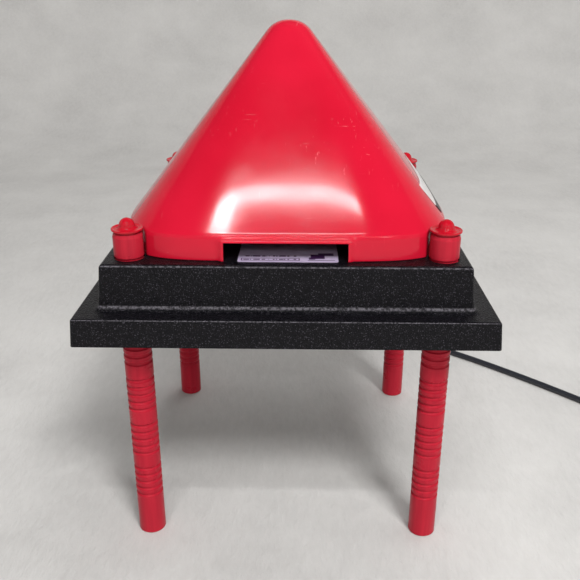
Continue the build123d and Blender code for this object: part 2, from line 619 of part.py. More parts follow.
with BuildPart() as plug_body:
    with BuildSketch(Plane.XZ.offset(-PLUG_Y)):
        with Locations((plug_x, PLUG_Z)):
            Circle(CORD_RADIUS + 0.8)
    with BuildSketch(Plane.XZ.offset(-PLUG_Y - NECK_LENGTH)):
        with Locations((plug_x, PLUG_Z)):
            Circle(NECK_END_RADIUS)
    loft(ruled=True)
    with BuildSketch(Plane.XZ.offset(-PLUG_Y - NECK_LENGTH)):
        with Locations((plug_x, PLUG_Z)):
            RectangleRounded(*PLUG_SHOULDER, PLUG_CORNER)
    with BuildSketch(Plane.XZ.offset(-PLUG_Y - NECK_LENGTH - PLUG_SIZE[1])):
        with Locations((plug_x, PLUG_Z)):
            RectangleRounded(PLUG_SIZE[0], PLUG_SIZE[2], PLUG_CORNER)
    loft(ruled=True)
save(plug_body, "plug_body")

with BuildPart() as plug_blades:
    with BuildSketch(Plane.XZ.offset(-PLUG_Y - NECK_LENGTH - PLUG_SIZE[1] - 0.02)):
        with Locations((plug_x - BLADE_SPACING / 2, PLUG_Z), (plug_x + BLADE_SPACING / 2, PLUG_Z)):
            Rectangle(BLADE_SIZE[0], BLADE_SIZE[2])
    extrude(amount=-BLADE_SIZE[1])
save(plug_blades, "plug_blades")
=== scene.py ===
"""Looks of the brooder heating plate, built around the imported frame.  Metres, in the CAD's frame."""
import json
from math import atan, atan2, cos, degrees, exp, hypot, log2, pi, radians, sin, sqrt, tan

import bmesh
import bpy
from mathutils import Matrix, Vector


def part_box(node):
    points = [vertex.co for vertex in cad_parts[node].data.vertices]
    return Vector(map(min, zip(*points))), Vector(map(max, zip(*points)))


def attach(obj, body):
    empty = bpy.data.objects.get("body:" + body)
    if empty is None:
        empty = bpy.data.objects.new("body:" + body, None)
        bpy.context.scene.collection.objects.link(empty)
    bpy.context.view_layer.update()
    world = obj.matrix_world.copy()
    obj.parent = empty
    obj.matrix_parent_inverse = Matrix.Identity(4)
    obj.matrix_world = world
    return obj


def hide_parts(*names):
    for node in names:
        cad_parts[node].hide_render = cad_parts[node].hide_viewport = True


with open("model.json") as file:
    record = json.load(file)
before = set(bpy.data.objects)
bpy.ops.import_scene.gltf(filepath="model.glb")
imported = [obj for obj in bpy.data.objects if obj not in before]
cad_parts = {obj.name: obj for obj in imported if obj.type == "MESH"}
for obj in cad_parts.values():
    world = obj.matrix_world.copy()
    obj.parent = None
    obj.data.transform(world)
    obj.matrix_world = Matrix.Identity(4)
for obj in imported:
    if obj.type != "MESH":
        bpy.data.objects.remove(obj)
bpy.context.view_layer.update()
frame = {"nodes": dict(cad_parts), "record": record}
NODES = frame["nodes"]
MM = 0.001

# --- camera -----------------------------------------------------------------------------------
SENSOR_WIDTH = 36.0                       # millimetres, as the lens
LENS = 45.53
CAMERA_PLACE = (0.0123, -0.6038, 0.4166)
CAMERA_TILT = radians(67.585)             # up from straight down
CAMERA_TURN = radians(1.104)              # to the left, seen from above

camera_data = bpy.data.cameras.new("camera")
camera_data.sensor_width = SENSOR_WIDTH
camera_data.lens = LENS
camera = bpy.data.objects.new("camera", camera_data)
camera.location = CAMERA_PLACE
camera.rotation_euler = (CAMERA_TILT, 0, CAMERA_TURN)
bpy.context.scene.collection.objects.link(camera)
bpy.context.scene.camera = camera
bpy.context.scene.view_settings.view_transform = "Standard"


# --- small helpers ----------------------------------------------------------------------------
def smooth(share):
    """Eases from 0 to 1."""
    share = min(1.0, max(0.0, share))
    return share * share * (3 - 2 * share)


def add_object(name, data):
    """Puts new data in the scene as an object."""
    made = bpy.data.objects.new(name, data)
    bpy.context.scene.collection.objects.link(made)
    return made


def mesh_object(name, vertices, faces):
    """A smooth-shaded mesh from its vertices and faces, with its normals turned outwards."""
    mesh = bpy.data.meshes.new(name)
    mesh.from_pydata([tuple(v) for v in vertices], [], faces)
    work = bmesh.new()
    work.from_mesh(mesh)
    bmesh.ops.recalc_face_normals(work, faces=work.faces)
    work.to_mesh(mesh)
    work.free()
    mesh.shade_smooth()
    return add_object(name, mesh)


def apply_modifiers(piece):
    """Replaces a piece's mesh by its mesh with every modifier applied."""
    bpy.context.view_layer.update()
    graph = bpy.context.evaluated_depsgraph_get()
    final = bpy.data.meshes.new_from_object(piece.evaluated_get(graph))
    piece.modifiers.clear()
    piece.data = final
    return piece


def finish_piece(piece, body, slot, *replaced):
    """Gives a piece its body, its slot with that slot's material, and the CAD nodes it stands for."""
    piece.data.materials.clear()
    piece.data.materials.append(MATERIALS[slot])
    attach(piece, body)
    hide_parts(*replaced)
    return piece


# --- materials --------------------------------------------------------------------------------
class Finish:
    """A Principled material with short calls for the textures that go into it."""

    def __init__(self, name, **sockets):
        self.material = bpy.data.materials.new(name)
        self.material.use_nodes = True
        self.tree = self.material.node_tree
        self.shader = self.tree.nodes["Principled BSDF"]
        for socket, value in sockets.items():
            self.shader.inputs[socket.replace("_", " ")].default_value = value
        self.place = self.add("ShaderNodeTexCoord").outputs["Object"]

    def add(self, kind, **settings):
        """A new shader node with its settings."""
        node = self.tree.nodes.new(kind)
        for key, value in settings.items():
            setattr(node, key, value)
        return node

    def link(self, source, target):
        self.tree.links.new(source, target)

    def stretched(self, stretch, turn=(0, 0, 0)):
        """Object coordinates scaled and turned."""
        mapping = self.add("ShaderNodeMapping")
        mapping.inputs["Scale"].default_value = stretch
        mapping.inputs["Rotation"].default_value = turn
        self.link(self.place, mapping.inputs["Vector"])
        return mapping.outputs["Vector"]

    def noise(self, scale, detail=3.0, roughness=0.5, stretch=None, turn=(0, 0, 0)):
        """Noise from 0 to 1, with about scale bumps along a metre."""
        texture = self.add("ShaderNodeTexNoise")
        texture.inputs["Scale"].default_value = scale
        texture.inputs["Detail"].default_value = detail
        texture.inputs["Roughness"].default_value = roughness
        self.link(self.stretched(stretch, turn) if stretch else self.place, texture.inputs["Vector"])
        return texture.outputs["Fac"]

    def cells(self, scale):
        """Distance to the nearest of scattered points, with about scale points along a metre."""
        texture = self.add("ShaderNodeTexVoronoi")
        texture.inputs["Scale"].default_value = scale
        self.link(self.place, texture.inputs["Vector"])
        return texture.outputs["Distance"]

    def spread(self, value, low, high, to_low=0.0, to_high=1.0):
        """Maps value from low..high to to_low..to_high, held at both ends."""
        node = self.add("ShaderNodeMapRange", clamp=True)
        sockets = ("From Min", "From Max", "To Min", "To Max")
        for socket, number in zip(sockets, (low, high, to_low, to_high)):
            node.inputs[socket].default_value = number
        self.link(value, node.inputs["Value"])
        return node.outputs["Result"]

    def math(self, operation, first, second=None):
        """One sum on values, each a number or another node's output."""
        node = self.add("ShaderNodeMath", operation=operation)
        for socket, value in zip(node.inputs, (first, second)):
            if isinstance(value, (int, float)):
                socket.default_value = value
            elif value is not None:
                self.link(value, socket)
        return node.outputs["Value"]

    def axis(self, name):
        """One of the object coordinates, X, Y or Z."""
        node = self.add("ShaderNodeSeparateXYZ")
        self.link(self.place, node.inputs["Vector"])
        return node.outputs[name]

    def upward(self):
        """Height component of the surface's normal: 0 on an upright wall and 1 on a level top."""
        node = self.add("ShaderNodeSeparateXYZ")
        self.link(self.add("ShaderNodeNewGeometry").outputs["Normal"], node.inputs["Vector"])
        return node.outputs["Z"]

    def mix(self, share, first, second):
        """A colour between first and second by share."""
        node = self.add("ShaderNodeMix", data_type="RGBA")
        self.link(share, node.inputs["Factor"])
        sockets = [s for s in node.inputs if s.type == "RGBA"]
        for socket, value in zip(sockets, (first, second)):
            if isinstance(value, tuple):
                socket.default_value = (*value, 1.0)
            else:
                self.link(value, socket)
        return next(s for s in node.outputs if s.type == "RGBA")

    def patch(self, middle, half):
        """1 inside a level rectangle of the object's X and Y, and 0 outside it."""
        sides = []
        for name, centre, reach in zip("XY", middle, half):
            away = self.math("ABSOLUTE", self.math("SUBTRACT", self.axis(name), centre))
            sides.append(self.math("LESS_THAN", away, reach))
        return self.math("MULTIPLY", *sides)

    def colour(self, value):
        self.link(value, self.shader.inputs["Base Color"])

    def roughness(self, value):
        self.link(value, self.shader.inputs["Roughness"])

    def bump(self, height, distance, strength=1.0):
        """Stacks one more bump on the shader's normal."""
        node = self.add("ShaderNodeBump")
        node.inputs["Distance"].default_value = distance
        node.inputs["Strength"].default_value = strength
        self.link(height, node.inputs["Height"])
        normal = self.shader.inputs["Normal"]
        if normal.is_linked:
            self.link(normal.links[0].from_socket, node.inputs["Normal"])
        self.link(node.outputs["Normal"], normal)


def red_gloss():
    """The cover's gloss plastic: faint cloudy colour, fine scuffs and long hairline scratches."""
    made = Finish("cover_red", Specular_IOR_Level=0.20, Coat_Weight=0.18, Coat_Roughness=0.06)
    clouds = made.noise(9.0, 3)
    streaks = made.noise(26.0, 4, 0.6, stretch=(1.0, 1.0, 0.22))
    base = made.mix(made.spread(clouds, 0.35, 0.65), (0.45, 0.0050, 0.020), (0.53, 0.0080, 0.029))
    slanted = made.noise(420.0, 2, 0.6, stretch=(1.0, 0.08, 0.35), turn=(0.3, 0.2, 0.6))
    scuffs = made.spread(slanted, 0.66, 0.74)
    level = made.noise(600.0, 2, 0.5, stretch=(0.06, 1.0, 1.0), turn=(0, 0.25, 0))
    hairs = made.spread(level, 0.68, 0.74)
    patches = made.spread(made.noise(22.0, 3), 0.50, 0.66)
    worn = made.math("MULTIPLY", made.math("MAXIMUM", scuffs, hairs), patches)
    made.colour(made.mix(made.math("MULTIPLY", worn, 0.30), base, (0.80, 0.16, 0.20)))
    sheen = made.spread(streaks, 0.3, 0.7, 0.085, 0.15)
    made.roughness(made.math("ADD", sheen, made.math("MULTIPLY", worn, 0.25)))
    made.bump(made.noise(14.0, 2), 0.0016, 0.30)
    made.bump(worn, 0.00004, 0.5)
    return made.material


def red_satin(name, dark, light, shine, roughness):
    """The plastic of a leg or a cap: drawn streaks upwards and a fine skin."""
    made = Finish(name, Specular_IOR_Level=shine)
    streaks = made.noise(240.0, 3, 0.6, stretch=(1.0, 1.0, 0.06))
    made.colour(made.mix(made.spread(streaks, 0.3, 0.7), dark, light))
    made.roughness(made.spread(made.noise(70.0, 3), 0.3, 0.7, *roughness))
    made.bump(streaks, 0.00010, 0.5)
    made.bump(made.noise(900.0, 2), 0.00004, 0.5)
    return made.material


def black_grained():
    """The housing's leather-grained plastic, with painted glints on the grain and a painted highlight on
    rounded edges.
    """
    made = Finish("housing_black", Specular_IOR_Level=0.17)
    grain = made.noise(1000.0, 3, 0.6)
    cells = made.cells(860.0)
    base = made.mix(made.spread(grain, 0.35, 0.7), (0.0012, 0.0011, 0.0018), (0.0040, 0.0037, 0.0055))
    # painted glints: pale specks on the grain tips stand in for light catching the grain
    painted_glints = made.math("MULTIPLY", made.spread(cells, 0.10, 0.34, 1.0, 0.0), made.spread(grain, 0.44, 0.58))
    base = made.mix(painted_glints, base, (0.110, 0.101, 0.122))
    # painted highlight: slanting rounded edges and fillets, between wall and top, are painted lighter and
    # broken up by noise
    past_wall = made.spread(made.upward(), 0.26, 0.40)
    before_top = made.spread(made.upward(), 0.74, 0.56)
    slanting = made.math("MULTIPLY", past_wall, before_top)
    painted_edge_highlight = made.math("MULTIPLY", slanting, made.spread(made.noise(620.0, 2), 0.40, 0.60, 0.15, 1.0))
    made.colour(made.mix(painted_edge_highlight, base, (0.110, 0.103, 0.118)))
    made.roughness(made.spread(grain, 0.3, 0.7, 0.42, 0.24))
    made.bump(cells, 0.00045, 0.8)
    made.bump(grain, 0.00045, 0.8)
    return made.material


# The label's dark marks, each a level rectangle: its middle and its half sizes in X and Y.
UPPER_DASHES = ((-0.010, -0.1100), (0.019, 0.0013))
FRAMED_DASHES = ((-0.011, -0.1169), (0.0190, 0.0010))
LABEL_FRAME = [
    ((-0.011, -0.1192), (0.0205, 0.0004)), ((-0.011, -0.1146), (0.0205, 0.0004)),
    ((-0.0314, -0.1169), (0.0004, 0.0025)), ((0.0094, -0.1169), (0.0004, 0.0025)),
]
LABEL_SHAPE = [
    ((0.0225, -0.1110), (0.0050, 0.0045)), ((0.0285, -0.1062), (0.0055, 0.0026)),
    ((0.0185, -0.1150), (0.0022, 0.0020)), ((0.0250, -0.1185), (0.0095, 0.0005)),
]


def printed_label():
    """The lavender label with rows of dashes, a thin frame and a plain shape, and no lettering."""
    made = Finish("label_lavender", Roughness=0.3)
    clouds = made.spread(made.noise(120.0, 3), 0.3, 0.7)
    paper = made.mix(clouds, (0.46, 0.38, 0.55), (0.54, 0.46, 0.63))
    dashes = made.spread(made.noise(520.0, 1, 0.5, stretch=(1.0, 0.02, 0.02)), 0.44, 0.47)
    marks = made.math("MULTIPLY", dashes, made.patch(*UPPER_DASHES))
    for middle, half in LABEL_FRAME + LABEL_SHAPE:
        marks = made.math("MAXIMUM", marks, made.patch(middle, half))
    framed = made.math("MULTIPLY", dashes, made.patch(*FRAMED_DASHES))
    marks = made.math("MAXIMUM", marks, framed)
    made.colour(made.mix(marks, paper, (0.045, 0.012, 0.065)))
    made.bump(made.noise(300.0, 2), 0.00005, 0.5)
    return made.material


STRIPE_TOP_Z = 265.5 * MM         # top of the dark stripe on the cover's sticker


def side_label():
    """The cover's sticker: pale paper with a dark stripe along its lower edge."""
    made = Finish("sticker_white", Roughness=0.35)
    clouds = made.spread(made.noise(90.0, 3), 0.3, 0.7)
    paper = made.mix(clouds, (0.52, 0.50, 0.50), (0.64, 0.62, 0.61))
    stripe = made.math("LESS_THAN", made.axis("Z"), STRIPE_TOP_Z)
    made.colour(made.mix(stripe, paper, (0.012, 0.010, 0.012)))
    made.bump(made.noise(260.0, 2), 0.00006, 0.5)
    return made.material


def plain_finish(name, colour, roughness, metallic=0.0, grain=500.0, depth=0.00004):
    """A plain moulded or plated surface with a fine grain in colour, gloss and height."""
    contrast = 0.12
    made = Finish(name, Metallic=metallic)
    fine = made.noise(grain, 3)
    dark = tuple(part * (1 - contrast) for part in colour)
    light = tuple(min(1.0, part * (1 + contrast)) for part in colour)
    made.colour(made.mix(made.spread(fine, 0.35, 0.65), dark, light))
    made.roughness(made.spread(made.noise(grain / 6, 2), 0.3, 0.7, roughness * 0.85, roughness * 1.15))
    made.bump(fine, depth, 0.5)
    return made.material


PLAIN_FINISHES = {
    "panel_black": dict(colour=(0.020, 0.020, 0.021), roughness=0.5),
    "foil_silver": dict(colour=(0.75, 0.75, 0.76), roughness=0.25, metallic=1.0, grain=260.0),
    "pad_white": dict(colour=(0.80, 0.79, 0.74), roughness=0.9, grain=900.0, depth=0.0004),
    "white_nylon": dict(colour=(0.78, 0.77, 0.72), roughness=0.45),
    "terminal_brass": dict(colour=(0.72, 0.52, 0.22), roughness=0.3, metallic=1.0),
    "cutout_brown": dict(colour=(0.10, 0.045, 0.02), roughness=0.4),
    "lead_insulation": dict(colour=(0.10, 0.05, 0.03), roughness=0.4),
    "screw_steel": dict(colour=(0.55, 0.55, 0.56), roughness=0.3, metallic=1.0, grain=1400.0),
    "spring_steel": dict(colour=(0.5, 0.5, 0.51), roughness=0.25, metallic=1.0, grain=1400.0),
    "guide_grey": dict(colour=(0.06, 0.06, 0.065), roughness=0.4),
    "relief_rubber": dict(colour=(0.015, 0.015, 0.017), roughness=0.45, grain=900.0),
    "cord_black": dict(colour=(0.018, 0.020, 0.026), roughness=0.38, grain=700.0, depth=0.00006),
    "tie_black": dict(colour=(0.02, 0.02, 0.02), roughness=0.4),
    "plug_black": dict(colour=(0.018, 0.018, 0.02), roughness=0.42, grain=900.0),
    "blade_brass": dict(colour=(0.70, 0.58, 0.32), roughness=0.25, metallic=1.0, grain=1400.0),
}
MATERIALS = {name: plain_finish(name, **look) for name, look in PLAIN_FINISHES.items()}
MATERIALS.update({
    "red_gloss": red_gloss(),
    "red_satin": red_satin("leg_red", (0.36, 0.011, 0.026), (0.45, 0.016, 0.033), 0.15, (0.26, 0.40)),
    "red_cap": red_satin("cap_red", (0.38, 0.0035, 0.013), (0.46, 0.0055, 0.018), 0.30, (0.10, 0.18)),
    "black_grained": black_grained(),
    "label_lavender": printed_label(),
    "sticker_white": side_label(),
})
for row in frame["record"]["subparts"]:
    node = NODES[row["node"]]
    node.data.materials.clear()
    node.data.materials.append(MATERIALS[row["material_slot"]])

# --- cord: route, coil and tail as one spline -------------------------------------------------
CORD_DIAMETER = 6.5 * MM
FLOOR = 3.3               # height of the cord's centreline on the floor; the route is in millimetres
CORD_ROUTE = [
    (60, 175, 196.2), (60, 199, 196.2), (62, 225, 182), (66, 238, 154), (71, 244, 121),
    (77, 246, 86), (84, 245, 53), (94, 243, 25), (112, 240, 7), (139, 235, FLOOR),
    (168, 221, FLOOR), (196, 201, FLOOR), (226, 176, FLOOR), (256, 148.5, FLOOR),
    (281, 124.5, FLOOR), (304, 101.2, FLOOR), (325, 79.2, FLOOR),
]
COIL_TURN = 35.2          # radius of the middle turn
COIL_STEP = 6.6           # between neighbouring turns, and between the two layers
COIL_LIFT = 0.9           # gap below the lower layer
COIL_ENTRY = 25.0         # straight run from the route's last point to the coil
COIL_SWEEP = 1936.3       # length of the winding, in degrees
POINTS_PER_TURN = 20
# Where each turn starts to move to its next column or layer, in degrees along the winding:
# the column is -1, 0 or 1 steps from the middle turn, and the layer is 0 or 1.
COIL_MOVES = [(280, 0, 0), (640, -1, 0), (940, -1, 1), (1240, 0, 1), (1540, 1, 1)]
MOVE_SWEEP = 95.0         # degrees that one such move takes


def coil_point(centre, start_angle, sweep):
    """A point on the coil's centreline, sweep degrees after where the winding starts."""
    column, layer = 1.0, 0.0
    for move_at, next_column, next_layer in COIL_MOVES:
        share = smooth((sweep - move_at) / MOVE_SWEEP)
        column += (next_column - column) * share
        layer += (next_layer - layer) * share
    # a spline with these points passes inside them, so they stand a little further out
    radius = (COIL_TURN + column * COIL_STEP) / ((1 + cos(2 * pi / POINTS_PER_TURN)) / 2) ** 0.5
    angle = radians(start_angle + sweep)
    height = COIL_LIFT + CORD_DIAMETER / MM / 2 + layer * COIL_STEP
    return (centre[0] + radius * cos(angle), centre[1] + radius * sin(angle), height)


def cord_points():
    """All the control points, in millimetres: route, coil and tail."""
    last, before = CORD_ROUTE[-1], CORD_ROUTE[-2]
    run = hypot(last[0] - before[0], last[1] - before[1])
    heading = ((last[0] - before[0]) / run, (last[1] - before[1]) / run)
    reach = COIL_TURN + COIL_STEP
    centre = (last[0] + heading[0] * COIL_ENTRY - heading[1] * reach,
              last[1] + heading[1] * COIL_ENTRY + heading[0] * reach)
    start_angle = degrees(atan2(-heading[0], heading[1]))
    steps = round(COIL_SWEEP / 360 * POINTS_PER_TURN)
    coil = [coil_point(centre, start_angle, COIL_SWEEP * step / steps) for step in range(steps + 1)]
    # the tail leaves the coil along +Y and sinks to the plug
    tail_x, tail_z = centre[0] + reach, coil[-1][2]
    tail = [
        (tail_x, centre[1] + 14, tail_z), (tail_x, centre[1] + 26, tail_z),
        (tail_x - 0.2, centre[1] + 39, tail_z - 0.1), (tail_x - 1.8, centre[1] + 53, tail_z - 1.0),
        (tail_x - 4.6, centre[1] + 67, 8.5), (tail_x - 6, centre[1] + 79, 8.2),
        (tail_x - 6, centre[1] + 89, 8.2),
    ]
    return CORD_ROUTE + coil + tail


def cord_curve():
    """The cord as one NURBS spline through its control points."""
    points = cord_points()
    curve = bpy.data.curves.new("mains_cord", "CURVE")
    curve.dimensions = "3D"
    curve.bevel_depth = CORD_DIAMETER / 2
    curve.bevel_resolution = 8
    curve.resolution_u = 6
    curve.use_fill_caps = True
    spline = curve.splines.new("NURBS")
    spline.points.add(len(points) - 1)
    for point, (x, y, z) in zip(spline.points, points):
        point.co = (x * MM, y * MM, z * MM, 1.0)
    spline.order_u = 3
    spline.use_endpoint_u = True
    return add_object("mains_cord", curve)


ROUND, BOXY = 2.0, 5.0    # powers of a superellipse: a plain ellipse, and one with full corners
SHARP_RUBBER_EDGE = radians(35)


def stacked_rings(name, rings, sides=48):
    """A closed body along +Y: each ring is its Y, its middle in X and Z, two radii and its power."""
    vertices = []
    for y, (x, z), (wide, tall), power in rings:
        for step in range(sides):
            c, s = cos(2 * pi * step / sides), sin(2 * pi * step / sides)
            reach = 1 / (abs(c)**power + abs(s)**power) ** (1 / power)
            vertices.append((x + wide * reach * c, y, z + tall * reach * s))
    faces = []
    for ring in range(len(rings) - 1):
        foot, head = ring * sides, (ring + 1) * sides
        for k in range(sides):
            after = (k + 1) % sides
            faces.append((foot + k, foot + after, head + after, head + k))
    faces += [tuple(range(sides)), tuple(range(len(vertices) - sides, len(vertices)))]
    piece = mesh_object(name, vertices, faces)
    piece.data.set_sharp_from_angle(angle=SHARP_RUBBER_EDGE)
    return piece


def ribbed(start, end, radius_at, pitch, depth):
    """Ring positions and radii from start to end, with a groove of this depth at every pitch."""
    rings, y = [(start, radius_at(start))], start + pitch / 2
    while y + pitch / 2 < end:
        for along, cut in ((0.0, 0), (0.08, 1), (0.34, 1), (0.42, 0)):
            place = y + along * pitch
            rings.append((place, radius_at(place) - cut * depth))
        y += pitch
    return rings + [(end, radius_at(end))]


def strain_relief():
    """The tapered rubber sleeve, gripped by the rear wall between its two flanges."""
    low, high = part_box("strain_relief")
    x, z = CORD_ROUTE[0][0] * MM, CORD_ROUTE[0][2] * MM
    wall_inside, wall_outside = low.y + 3.0 * MM, low.y + 6.4 * MM
    inner_flange, hole, outer_flange, flange_rim = 6.1 * MM, 5.1 * MM, 6.5 * MM, 6.2 * MM
    flange_thickness = 2.2 * MM
    step = 0.05 * MM
    taper_start, taper_end = low.y + 9.5 * MM, high.y
    wide_end, narrow_end = 5.4 * MM, 4.0 * MM
    rib_pitch, groove_depth = 3.4 * MM, 0.75 * MM

    def radius_at(y):
        return wide_end + (narrow_end - wide_end) * (y - taper_start) / (taper_end - taper_start)

    profile = [(low.y, inner_flange), (wall_inside, inner_flange),
               (wall_inside + step, hole), (wall_outside, hole),
               (wall_outside + step, outer_flange), (wall_outside + flange_thickness, flange_rim)]
    profile += ribbed(taper_start, taper_end, radius_at, rib_pitch, groove_depth)
    return stacked_rings("cord_sleeve", [(y, (x, z), (r, r), ROUND) for y, r in profile])


def plug():
    """The moulded plug: a ribbed neck that swells into a waisted body with grip grooves."""
    low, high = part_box("plug_body")
    x, z = (low.x + high.x) / 2, (low.z + high.z) / 2
    wide, tall = (high.x - low.x) / 2, (high.z - low.z) / 2
    neck_length = 14 * MM
    neck_start_radius, neck_end_radius = 4.05 * MM, 6.15 * MM
    rib_pitch, groove_depth = 2.4 * MM, 0.6 * MM
    neck_end = low.y + neck_length

    def neck_radius(y):
        return neck_start_radius + (neck_end_radius - neck_start_radius) * (y - low.y) / neck_length

    # the body's outlines: how far along it, how wide against its box, and the superellipse's power
    outlines = [(0.04, 0.66, 2.6), (0.10, 0.78, 3.4), (0.18, 0.84, 4.4)]
    first_groove, groove_pitch, grooves = 0.24, 0.09, 5
    for groove in range(grooves):
        start = first_groove + groove * groove_pitch
        for along, swell in ((0.0, 0.86), (0.02, 0.82), (0.05, 0.82), (0.07, 0.86)):
            outlines.append((start + along, swell, BOXY))
    for share, swell in ((0.74, 0.90), (0.84, 0.98), (0.95, 1.0), (0.985, 0.985), (1.0, 0.94)):
        outlines.append((share, swell, BOXY))

    neck = ribbed(low.y, neck_end, neck_radius, rib_pitch, groove_depth)
    rings = [(y, (x, z), (r, r), ROUND) for y, r in neck]
    for share, swell, power in outlines:
        y = neck_end + share * (high.y - neck_end)
        rings.append((y, (x, z), (wide * swell, tall * swell), power))
    return stacked_rings("moulded_plug", rings, sides=64)


cord = finish_piece(cord_curve(), "base", "cord_black", "cord", "cord_tail", "cord_coil")
sleeve = finish_piece(strain_relief(), "base", "relief_rubber", "strain_relief")
cord_plug = finish_piece(plug(), "base", "plug_black", "plug_body")


# --- cover ------------------------------------------------------------------------------------
# The shell is a stack of outlines, each a superellipse whose corners grow rounder towards the apex.
COVER_FOOT_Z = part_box("cover")[0].z + 0.3 * MM
COVER_TOP_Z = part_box("cover")[1].z
COVER_HALF = 120.5 * MM           # half width at the crease, where skirt and slope meet
COVER_CORNER = 48.0 * MM          # corner radius there
COVER_APEX_Z = 408.0 * MM         # where the flat slopes would meet
CREASE_Z = 256.0 * MM
SKIRT_SLOPE = tan(radians(2.5))
FACE_SLOPE = COVER_HALF / (COVER_APEX_Z - CREASE_Z)
APEX_RADIUS = 20.5 * MM
WALL = 2.0 * MM
LEG_AXIS = 112.0 * MM             # a leg's distance from the middle, in X and in Y
FLUTE_RADIUS = 12.0 * MM          # hollow in each corner of the cover, round a leg
FLUTE_EDGE = 1.6 * MM             # rounding of the hollow's edges
WINDOW_HALF = 43.0 * MM
WINDOW_TOP_Z = 252.6 * MM
LIP_HALF = 45.5 * MM              # half width of the raised lip over the window
LIP_RISE = 1.7 * MM
LIP_END_Z = CREASE_Z + 8 * MM     # above it the slope is plain
LIP_BEAD = 0.35 * MM              # thin bead along the lip
LIP_BEAD_Z = 255.4 * MM
LIP_BEAD_REACH = 0.55 * MM
CREASE_BEAD = 0.22 * MM           # faint ridge that runs all round the crease
CREASE_BEAD_Z = CREASE_Z + 1.2 * MM
CREASE_BEAD_REACH = 0.8 * MM
CREASE_ROUNDING = 1.4 * MM
CORNER_FULLNESS = 0.90            # of the superellipse's power at the crease; at the top it is 1
SHARP_COVER_EDGE = radians(50)
NEARLY = 1e-6                     # what counts as equal
FACE_TILT = atan(FACE_SLOPE)
ARC_Z = COVER_TOP_Z - APEX_RADIUS * (1 - sin(FACE_TILT))    # where slope turns into rounded apex


def soft_min(a, b, reach):
    """The smaller of a and b, rounded where they meet."""
    share = max(0.0, 1.0 - abs(a - b) / reach)
    return min(a, b) - share * share * reach / 4


def corner_power(z):
    """Power of the superellipse at height z, from the corner radius in proportion to the width."""
    share = min(1.0, max(0.0, (z - CREASE_Z) / (COVER_TOP_Z - CREASE_Z)))
    top_half = FACE_SLOPE * (COVER_APEX_Z - COVER_TOP_Z)
    half = COVER_HALF + (top_half - COVER_HALF) * share
    corner = COVER_CORNER + (top_half - COVER_CORNER) * share
    diagonal = sqrt(2) * (1 - corner / half) + corner / half
    power = 1 / (0.5 - log2(diagonal))
    return power * (CORNER_FULLNESS + (1 - CORNER_FULLNESS) * share)


def lip_at(angle):
    """How far the lip stands out at this angle round the cover, whose front is at -90 degrees."""
    if sin(angle) > -0.5:
        return 0.0
    fade_end, fade = LIP_HALF + 1.5 * MM, 2.5 * MM
    side = abs(COVER_HALF / tan(angle))
    return LIP_RISE * smooth((fade_end - side) / fade)


def cover_half_width(z, angle):
    """Half width of the outline at height z, with the lip and the two beads."""
    slope = FACE_SLOPE * (COVER_APEX_Z - z)
    if z > LIP_END_Z:
        return slope
    skirt = COVER_HALF + (CREASE_Z - z) * SKIRT_SLOPE
    lip = lip_at(angle)
    bead = LIP_BEAD * (lip / LIP_RISE) * exp(-((z - LIP_BEAD_Z) / LIP_BEAD_REACH) ** 2)
    bead += CREASE_BEAD * exp(-((z - CREASE_BEAD_Z) / CREASE_BEAD_REACH) ** 2)
    return soft_min(slope, skirt + lip, CREASE_ROUNDING) + bead


def flute_reach(angle):
    """Distance from the axis to the hollow for the nearest leg, or None beside it."""
    distance = LEG_AXIS * sqrt(2)
    turn = (angle - pi / 4) % (pi / 2)
    turn = min(turn, pi / 2 - turn)
    across = distance * sin(turn)
    if across >= FLUTE_RADIUS:
        return None
    return distance * cos(turn) - sqrt(FLUTE_RADIUS**2 - across**2)


def cover_radius(half, power, angle):
    """Distance from the axis to the shell at this angle."""
    c, s = abs(cos(angle)), abs(sin(angle))
    radius = half / (c**power + s**power) ** (1 / power)
    flute = flute_reach(angle)
    return radius if flute is None else soft_min(radius, flute, FLUTE_EDGE)


def cover_angles():
    """Angles round the cover: even, closer at the leg hollows, and exact at the window's edges."""
    even_step, hollow_step = 1.2, 0.4                 # degrees; every third hollow step is left out
    clear, beside = radians(0.6), radians(0.8)        # kept free, and added, beside each edge
    angles = [radians(step * even_step) for step in range(300)]
    for corner in (45, 135, 225, 315):
        angles += [radians(corner + step * hollow_step) for step in range(-18, 19) if step % 3]
    edge = atan(WINDOW_HALF / COVER_HALF)
    window_edges = [-pi / 2 - edge + 2 * pi, -pi / 2 + edge + 2 * pi]
    angles = [angle for angle in angles if min(abs(angle - e) for e in window_edges) > clear]
    for edge in window_edges:
        angles += [edge, edge - beside, edge + beside]
    return sorted(angles), window_edges


def cover_heights():
    """Heights of the outlines: close together at the foot, the window and the crease."""
    above_foot = (0.0, 0.12, 0.4, 1.0, 3.5, 6.5, 9.5, 12.0)       # millimetres
    clear, near_step, far_step = 0.3 * MM, 0.45 * MM, 4 * MM
    heights = [COVER_FOOT_Z + rise * MM for rise in above_foot]
    heights = [z for z in heights if z < WINDOW_TOP_Z - clear] + [WINDOW_TOP_Z]
    heights += [WINDOW_TOP_Z + near_step * step for step in range(1, 20)]
    z = heights[-1]
    while z + far_step < ARC_Z:
        z += far_step
        heights.append(z)
    return heights


